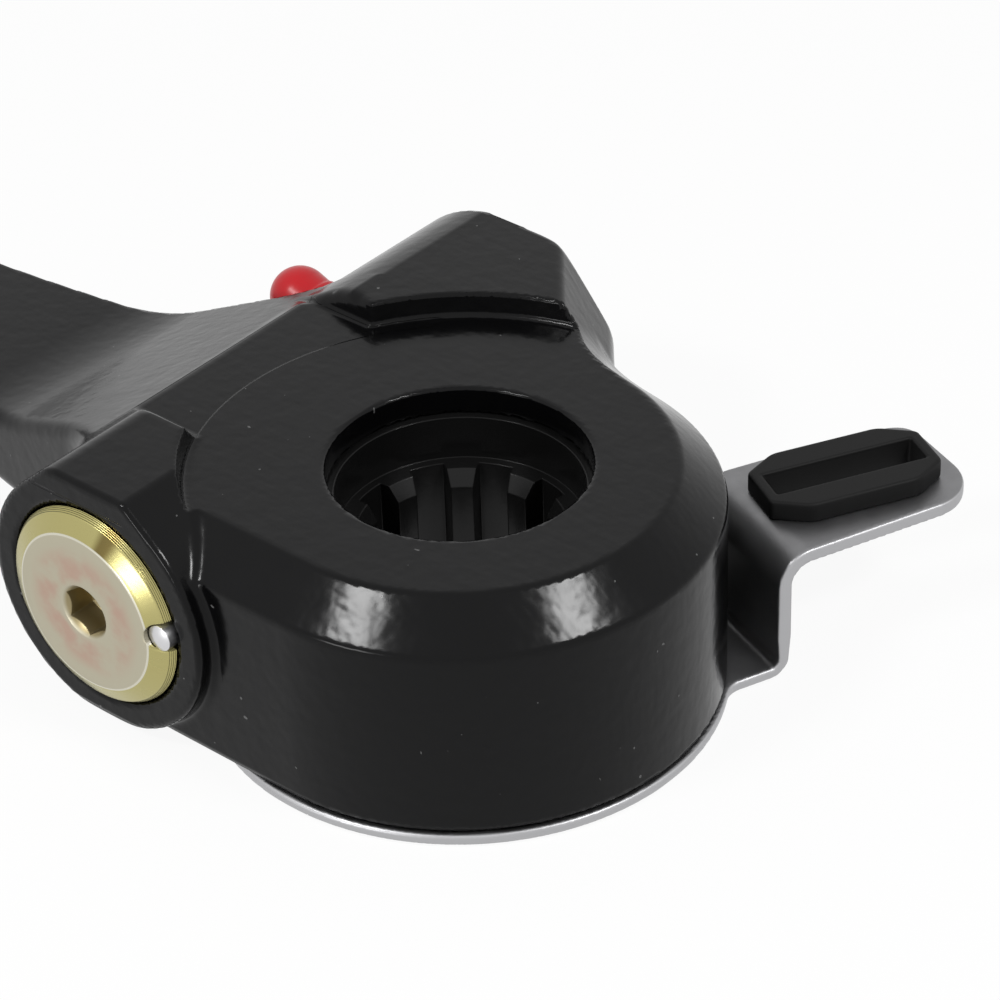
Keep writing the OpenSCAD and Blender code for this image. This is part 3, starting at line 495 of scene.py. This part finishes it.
def lathe(radii, heights):
    """Closed surface of rings about the worm's axis: each row gives the radius and the height of one
    ring at every angle, and the first and last ring are drawn in to a point on the axis."""
    count = radii.shape[1]
    turn = np.linspace(0, 2 * np.pi, count, endpoint=False)
    rings = np.stack([worm_x + radii * np.cos(turn), heights, radii * np.sin(turn)], axis=2)
    ends = np.array([[worm_x, heights[0, 0], 0], [worm_x, heights[-1, 0], 0]])
    points = np.concatenate([rings.reshape(-1, 3), ends])
    here = np.arange(radii.size).reshape(radii.shape)
    there = np.roll(here, -1, axis=1)
    sides = np.stack([here[:-1], there[:-1], there[1:], here[1:]], axis=2).reshape(-1, 4)
    first = np.stack([there[0], here[0], np.full(count, radii.size)], axis=1)
    last = np.stack([here[-1], there[-1], np.full(count, radii.size + 1)], axis=1)
    return points, sides.tolist() + first.tolist() + last.tolist()


# Each ring of the plug is a radius and a height, from the floor of the socket out to the rim and back.
turn = np.linspace(0, 2 * np.pi, 360, endpoint=False)
socket_turn = np.radians(25)
hexagon = socket_flat / np.cos((turn - socket_turn) % (np.pi / 3) - np.pi / 6)
wall_top = plug_face - (lead_r - hexagon)
floor_y = plug_face - socket_depth
rings = [(hexagon * share, floor_y - 0.8 * (1 - share)) for share in (0.05, 0.4, 0.8, 0.96)]
rings += [(hexagon, floor_y + 0.2), (hexagon, floor_y + 2.4), (hexagon, wall_top - 0.12)]
rings += [(hexagon + 0.04, wall_top - 0.02), (hexagon + 0.12, wall_top + 0.08)]
rings += [(lead_r - 0.06, plug_face - 0.07), (lead_r + 0.06, plug_face - 0.01), (lead_r + 0.2, plug_face)]
rings += [(radius, plug_face) for radius in np.arange(6, chamfer_r - 0.2, 1.2)]
rings += [(chamfer_r - 0.18, plug_face), (chamfer_r, plug_face - 0.04)]
rings += [(chamfer_r + 0.16, plug_face - 0.13)]
fall = rim_drop / (plug_r - chamfer_r)
rings += [(chamfer_r + out, plug_face - fall * out) for out in np.linspace(0.4, 3.0, 9)]
slant_l = 3.15
rim_r = chamfer_r + slant_l
rim_y = plug_face - fall * slant_l
rings += [(rim_r, rim_y - 0.05), (rim_r + 0.02, rim_y - 0.14)]
thread_lines, line_pitch, line_growth = 4, 0.28, 0.16
for line in range(thread_lines):
    low = plug_face - rim_drop + 0.04 - line_pitch * line
    out = min(rim_r + 0.2 + line_growth * line, plug_r)
    rings += [(out - 0.26, low), (out - 0.03, low - 0.08), (out, low - 0.14), (out - 0.03, low - 0.2)]
rings += [(plug_r - 0.02, plug_face - 3.4), (plug_r - 0.02, pin_low[1] + 0.1), (plug_r, pin_low[1])]
rings += [(plug_r, plug_low[1] + 0.3), (plug_r - 0.3, plug_low[1]), (0.3, plug_low[1])]
radii = np.array([np.broadcast_to(radius, turn.shape) for radius, _ in rings])
heights = np.array([np.broadcast_to(height, turn.shape) for _, height in rings])
pin_out = np.hypot(pin_x - worm_x, pin_z)
beside = turn - np.arctan2(pin_z, pin_x - worm_x)
notch_r = pin_r + 0.22
reach = np.maximum(notch_r ** 2 - (pin_out * np.sin(beside)) ** 2, 0)
notch = np.where((reach > 0) & (np.cos(beside) > 0), pin_out * np.cos(beside) - np.sqrt(reach), np.inf)
radii = np.where(heights > pin_low[1] + 0.05, np.minimum(radii, notch), radii)
points, faces = lathe(radii, heights)
plug = piece("end_plug_turned", points, faces)
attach(plug, "housing")
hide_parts("end_plug")

plug_zinc = Finish("yellow_zinc", Metallic=1.0)
middle = plug_zinc.place.node("ShaderNodeVectorMath", {"operation": "MULTIPLY_ADD"}, {
    0: plug_zinc.place, 1: (1 / MM, 0, 1 / MM), 2: (-worm_x, 0, 0)})
outward = middle.node("ShaderNodeVectorMath", {"operation": "LENGTH"}, {0: middle}, "Value")
cloud = plug_zinc.place.noise(6.0, 3.0)
ring = (outward + cloud * 4).rise(7, 9) * (1 - (outward + cloud * 5).rise(12, 15.5))
face_colour = (ring * cloud.rise(0.3, 0.65)).tint((0.45, 0.42, 0.32, 1), (0.45, 0.32, 0.25, 1))
slant = outward.rise(chamfer_r - 0.1, chamfer_r + 0.1)
# Painted shade: inside the lead-in and the hexagon the socket is coloured darker and browner than the face.
socket = outward.rise(lead_r - 0.6, lead_r)
# Painted highlight: a pale ring on the rounded edge between the face and the chamfer.
painted_edge_highlight = outward.rise(chamfer_r - 0.25, chamfer_r - 0.1)
painted_edge_highlight = painted_edge_highlight * (1 - outward.rise(chamfer_r + 0.1, chamfer_r + 0.25))
face_colour = socket.tint((0.30, 0.25, 0.14, 1), face_colour)
across, upward = [middle.node("ShaderNodeSeparateXYZ", None, {0: middle}, k) for k in (0, 2)]
# Painted reflection: a dark brown streak across one sector of the chamfer.
angle = across.math("ARCTAN2", upward, across)
painted_dark_reflection = angle.rise(1.76, 1.88) * (1 - angle.rise(1.95, 2.1))
face_colour = slant.tint(face_colour, painted_dark_reflection.tint((0.42, 0.38, 0.16, 1), (0.18, 0.14, 0.05, 1)))
plug_zinc.vary("Base Color", painted_edge_highlight.tint(face_colour, (0.62, 0.60, 0.50, 1)))
plug_zinc.vary("Roughness", cloud * 0.15 + (0.34 - slant * 0.16))
plug_zinc.relief(plug_zinc.place.noise(0.5, 2.0) * 0.006)
plug_zinc.dress(plug)


# Small pieces of zinc plated steel: lock pin, washer, screws, rivets, nipple and the bush of the eye.
# They are pressed, screwed or riveted into the housing and the sheet.
bright_zinc = Finish("bright_zinc", Metallic=1.0)
stain = bright_zinc.place.noise(2.5, 3.0)
bright_zinc.vary("Base Color", stain.tint((0.68, 0.68, 0.69, 1), (0.56, 0.56, 0.57, 1)))
bright_zinc.vary("Roughness", stain * 0.2 + 0.25)
bright_zinc.relief(bright_zinc.place.noise(0.5, 2.0) * 0.008, 0.2)
bright_zinc.dress(*(frame["nodes"][name] for name in (
    "lock_pin", "thrust_washer", "cover_screws", "control_rivets", "grease_nipple", "clevis_bush")))


# Control arm and cover: stamped sheet steel, zinc plated to a dull silver.
# The arm is one strip, sheared out with its disc, bent up beside the barrel and again into a tab.
# It is riveted to the control ring from below. Its upright faces, the sheared edges and the riser, are coloured
# lighter than its flat faces: partly the bright cut of the edges, partly painted light by which way a face turns.
sheet_low, sheet_high = span("control_arm")
arm_turn = np.radians(-111.3)
sheet_t = 2.0
strip_t = 2.6
foot_z = sheet_low[2] + sheet_t / 2
tab_z = sheet_high[2] - strip_t / 2
disc_r = sheet_high[0]
riser = barrel_r + 1.5 + strip_t / 2
low_bend_r = 2.6
high_bend_r = 5.0
strip_middle = -12.2
strip_half = 14.0
tab_end = 85.3
tab_corner = 9.0
sleeve_r = 21.25
bush_x, bush_y, bush_top = mounts["anchor_slot"]
bush_turn = np.radians(-118.3)
bush_size = (31.8, 16.8)
bush_cut = (6.0, 3.7)
neck_size = (bush_size[0] - 1.6, bush_size[1] - 3.0)
far_edge = 12.8
swell_l = 4.0


def along_bush(x, y):
    """Place along the slot of the rubber bush, and across it."""
    return rotated(x - bush_x, y - bush_y, bush_turn)


def octagon(u, v, length, width):
    """A long rectangle with its four corners cut off, and the corners that this leaves rounded."""
    past, beside = np.abs(u) - length / 2 + bush_cut[0], np.abs(v) - width / 2 + bush_cut[1]
    corner = past * bush_cut[1] + beside * bush_cut[0] - bush_cut[0] * bush_cut[1]
    return within(0.7, np.abs(u) - length / 2, np.abs(v) - width / 2, corner / np.hypot(*bush_cut))


def segment(u, w, start, end):
    """Distance from a straight stretch between two points."""
    along = np.subtract(end, start)
    share = np.clip(((u - start[0]) * along[0] + (w - start[1]) * along[1]) / (along ** 2).sum(), 0, 1)
    return np.hypot(u - start[0] - share * along[0], w - start[1] - share * along[1])


def bend(u, w, centre, radius, side):
    """Distance from a quarter round of the sheet, which bulges down and out or up and in by side."""
    inside = ((u - centre[0]) * side >= 0) & ((w - centre[1]) * side <= 0)
    return np.where(inside, np.abs(np.hypot(u - centre[0], w - centre[1]) - radius), beyond)


def bent_sheet(x, y, z):
    """The sheet within half its thickness of its bent middle line, and within its sheared outline."""
    u, v = rotated(x, y, arm_turn)
    low_bend = (riser - low_bend_r, foot_z + low_bend_r)
    high_bend = (riser + high_bend_r, tab_z - high_bend_r)
    middle = np.minimum(bend(u, z, low_bend, low_bend_r, 1), bend(u, z, high_bend, high_bend_r, -1))
    middle = np.minimum(middle, segment(u, z, (riser, low_bend[1]), (riser, high_bend[1])))
    middle = np.minimum(middle, segment(u, z, (high_bend[0], tab_z), (beyond, tab_z)))
    middle = np.minimum(middle, segment(u, z, (-beyond, foot_z), (low_bend[0], foot_z)))
    swell = ramp(z, low_bend[1], low_bend[1] + swell_l) * (strip_t - sheet_t)
    faces = middle - (sheet_t + swell) / 2
    past = u - tab_end + tab_corner
    beside = np.abs(v - strip_middle) - strip_half + tab_corner
    strip = np.hypot(np.maximum(past, 0), np.maximum(beside, 0)) + np.minimum(np.maximum(past, beside), 0)
    strip = np.maximum(strip - tab_corner, -u)
    slot_u, slot_v = along_bush(x, y)
    strip = smooth_max(strip, slot_v - far_edge, 3.0)
    outline = smooth_min(np.hypot(x, y) - disc_r, strip, 2.0)
    outline = np.maximum(outline, sleeve_r - np.hypot(x, y))
    hole = octagon(slot_u, slot_v, *neck_size)
    return np.maximum(within(0.7, faces, outline), -hole)


arm = grown("control_arm_sheet", bent_sheet, "control_arm", 1.5, 0.6)
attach(arm, "control_arm")
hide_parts("control_arm")

sheet = Finish("zinc_sheet", Metallic=1.0)
stain = sheet.place.noise(4.0, 4.0)
# Painted light: the sheet's colour follows which way the surface faces, lighter where it stands upright and darker
# where it lies flat.
facing = sheet.place.node("ShaderNodeNewGeometry", None, None, "Normal")
upright = facing.node("ShaderNodeSeparateXYZ", None, {0: facing}, 2)
flat = upright.math("ABSOLUTE", upright).rise(0.6, 0.9)
face_colour = stain.tint((0.24, 0.24, 0.245, 1), (0.19, 0.19, 0.195, 1))
sheet.vary("Base Color", flat.tint((0.42, 0.42, 0.43, 1), face_colour))
sheet.vary("Roughness", stain * 0.2 + 0.32)
sheet.relief(sheet.place.noise(0.6, 2.0) * 0.012)
sheet.dress(arm, frame["nodes"]["cover_plate"])


# Rubber bush: a slotted block moulded in black rubber and buttoned into the tab of the control arm.
# A lip above and one below the sheet hold it, and the flat of the anchor bracket slides in its slot.
bush_bottom = span("arm_bush")[0][2]
slot_size = (27.6, 6.2)


def slotted_block(x, y, z):
    """Two lips and a neck between them, with a slot right through."""
    u, v = along_bush(x, y)
    lip = octagon(u, v, *bush_size)
    neck = octagon(u, v, *neck_size)
    upper = within(0.6, lip, z - bush_top, sheet_high[2] - z)
    lower = within(0.8, lip, z - sheet_high[2] + strip_t, bush_bottom - z)
    neck = np.maximum(neck, np.maximum(z - bush_top + 1, bush_bottom + 1 - z))
    field = smooth_min(np.minimum(upper, lower), neck, 0.4)
    slot = within(0.5, np.abs(u) - slot_size[0] / 2, np.abs(v) - slot_size[1] / 2)
    return smooth_max(field, -slot, 0.5)


block = grown("arm_bush_block", slotted_block, "arm_bush", 1.5, 0.4)
rubber.dress(block)
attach(block, "control_arm")
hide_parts("arm_bush")


# Cap of the grease nipple: soft red plastic, moulded with a tail to pull it by.
# It is pushed over the head of the nipple, and its thin wall goes round the hexagon.
cap_r = 5.4
cap_foot = boss_r + 1.1
cap_dome = boss_r + 4.9
hexagon_room, hexagon_top = 4.75, boss_r + 3.3
head_room, head_top = 3.3, boss_r + 8.4
lip_r = cap_r + 0.3
lip_h = 0.8
tail_l = 2.4
tail_half = 0.8


def soft_cap(x, y, z):
    """A thimble with a round end and a lip, and a flat tail beside the lip."""
    out, across = along_nipple(x, y, z)
    thimble = np.maximum(np.hypot(across, np.maximum(out - cap_dome, 0)) - cap_r, cap_foot - out)
    lip = within(0.4, across - lip_r, out - cap_foot - lip_h, cap_foot - out)
    side = (x - worm_x) * nipple_way[2] - z * nipple_way[0]
    tail = within(0.4, np.abs(side) - tail_half, nipple_y - cap_r - tail_l - y, y - nipple_y,
                  out - cap_foot - lip_h, cap_foot - out)
    field = smooth_min(smooth_min(thimble, lip, 0.6), tail, 0.4)
    field = drilled(field, across, out, hexagon_room, 0, hexagon_top, 0.1)
    return drilled(field, across, out, head_room, 0, head_top)


cap = grown("nipple_cap_moulded", soft_cap, "nipple_cap", 4, 0.3)
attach(cap, "cap")
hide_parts("nipple_cap")
red = Finish("red_plastic", Roughness=0.3, IOR=1.35, Base_Color=(0.46, 0.010, 0.015, 1))
red.relief(red.place.noise(1.2, 2.0) * 0.015)
red.dress(cap)


# Studio: a pale floor under the part, white surroundings, and three soft lamps beside the camera.
floor_mesh = bpy.data.meshes.new("floor")
floor_half = 4.0
floor_z = cad_box[0][2] - 0.0002
corners = np.array([(-1, -1, 0), (1, -1, 0), (1, 1, 0), (-1, 1, 0)]) * floor_half + (0, 0, floor_z)
floor_mesh.from_pydata(corners, [], [(0, 1, 2, 3)])
floor = bpy.data.objects.new("floor", floor_mesh)
bpy.context.scene.collection.objects.link(floor)
pale = Finish("pale_floor", Base_Color=(0.8, 0.8, 0.8, 1), Roughness=0.9)
pale.dress(floor)


def seen(field):
    """1 for what the camera sees directly, in a mirror or through glass, and 0 for soft light."""
    ways = [field.node("ShaderNodeLightPath", None, None, way)
            for way in ("Is Camera Ray", "Is Glossy Ray", "Is Transmission Ray")]
    return ways[0].math("MAXIMUM", ways[0].math("MAXIMUM", ways[0], ways[1]), ways[2])


white = pale.place.node("ShaderNodeEmission", None, {"Color": (1, 1, 1, 1), "Strength": 1.0})
lit = Field(pale.tree, pale.shader.outputs[0])
ground = white.node("ShaderNodeMixShader", None, {0: seen(white) * 0.92, 1: lit, 2: white})
pale.tree.links.new(ground.socket, pale.tree.nodes["Material Output"].inputs["Surface"])

world = bpy.data.worlds.new("studio")
bpy.context.scene.world = world
world.use_nodes = True
sky = world.node_tree.nodes["Background"]
sky.inputs["Color"].default_value = (1, 1, 1, 1)
around = seen(Field(world.node_tree, sky.outputs[0]))
world.node_tree.links.new((around * 0.55 + 0.45).socket, sky.inputs["Strength"])


def standing(right, upward, back, place):
    """Matrix of an object with these three axes at this place."""
    return Matrix(np.vstack([np.column_stack([right, upward, back, place]), (0, 0, 0, 1)]).tolist())


def lamp(name, azimuth, elevation, distance, size, power):
    """A rectangular soft lamp that faces the part, seen from it at this azimuth and elevation."""
    light = bpy.data.lights.new(name, "AREA")
    light.shape = "RECTANGLE"
    light.size, light.size_y = size
    light.energy = power
    a, e = np.radians((azimuth, elevation))
    out = np.array([np.cos(e) * np.cos(a), np.cos(e) * np.sin(a), np.sin(e)])
    side = np.array([-np.sin(a), np.cos(a), 0])
    made = bpy.data.objects.new(name, light)
    made.matrix_world = standing(side, np.cross(out, side), out, out * distance)
    bpy.context.scene.collection.objects.link(made)


lamp("left_lamp", 75, 48, 0.9, (0.22, 0.11), 3.6)
lamp("right_lamp", 189, 48, 0.9, (0.22, 0.11), 3.6)
lamp("front_lamp", 87, 3, 0.5, (0.16, 0.07), 0.45)

camera_data = bpy.data.cameras.new("camera")
camera_data.sensor_width = 36
camera_data.lens = 144
camera_data.clip_start = 0.01
camera = bpy.data.objects.new("camera", camera_data)
forward = np.array([0.54150, -0.61638, -0.57172])
upward = np.array([0.35315, -0.45037, 0.82003])
stand = np.array([-357.56, 397.35, 383.76]) * MM
camera.matrix_world = standing(np.cross(forward, upward), upward, -forward, stand)
bpy.context.scene.collection.objects.link(camera)
bpy.context.scene.camera = camera
bpy.context.scene.view_settings.view_transform = "Standard"
